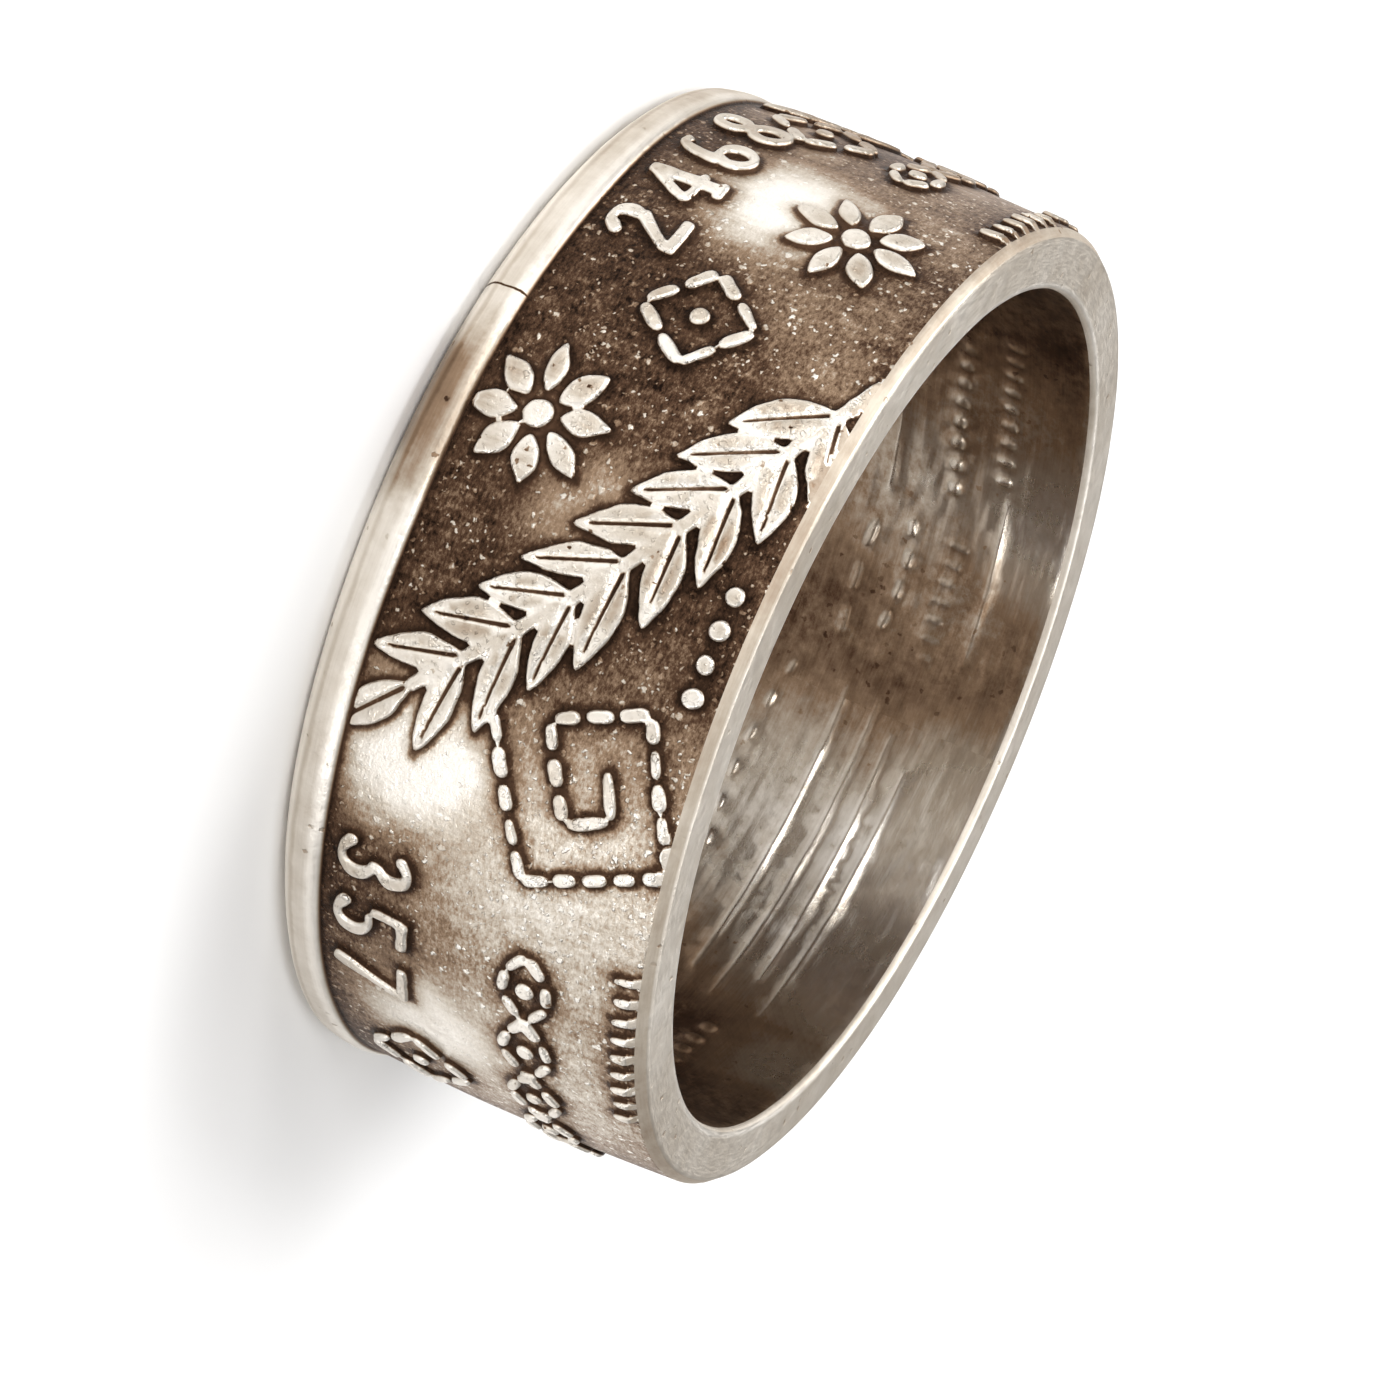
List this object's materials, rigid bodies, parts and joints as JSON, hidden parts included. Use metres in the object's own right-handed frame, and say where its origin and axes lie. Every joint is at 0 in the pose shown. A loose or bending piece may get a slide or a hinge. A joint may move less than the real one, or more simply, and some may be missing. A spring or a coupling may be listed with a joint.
{
  "type": "coin ring",
  "caption": "Finger ring forged from a silver coin: a low-domed band with the coin's raised rim on one edge, raised relief outside and a plain round finger hole.",
  "frame": {"origin": "on the axis of the finger hole, in the plane of the coin rim's flat foot, where the ring lies on its side", "axes": "+Z along the axis of the finger hole, from the coin rim to the cut edge; the side seen in the picture faces -Y"},
  "size_m": [0.024, 0.024, 0.0093],
  "materials": {
    "oxidised_silver": null
  },
  "bodies": {
    "root": {"ring_band": "oxidised_silver"}
  },
  "joints": []
}
